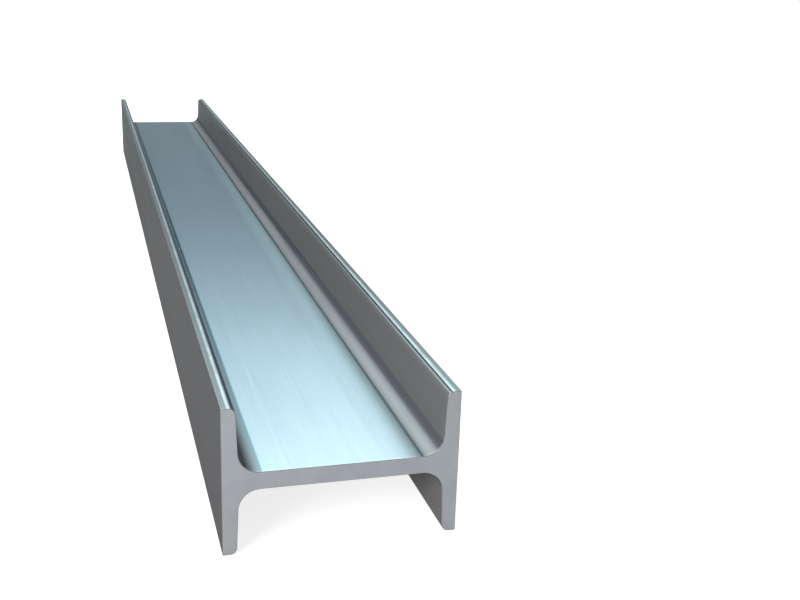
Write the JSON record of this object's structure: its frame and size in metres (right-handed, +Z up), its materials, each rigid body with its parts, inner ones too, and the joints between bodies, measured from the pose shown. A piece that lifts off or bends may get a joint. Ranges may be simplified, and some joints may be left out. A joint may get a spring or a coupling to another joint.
{
  "type": "stainless steel h-beam",
  "caption": "Straight rolled H-section beam of stainless steel: a web joins two parallel flanges with rounded roots, for columns, beams, frames and supports.",
  "frame": {"origin": "centre of the footprint: mid-length, midway between the flanges, on the level of the lower flange toes", "axes": "+X along the beam, +Y across the section from flange to flange, +Z up, at right angles to the web, which lies level"},
  "size_m": [1.5, 0.15, 0.097],
  "materials": {
    "stainless_steel": "satin mill finish with a fine lengthwise grain, sawn ends"
  },
  "bodies": {
    "root": {"h_beam": "stainless_steel"}
  },
  "joints": []
}
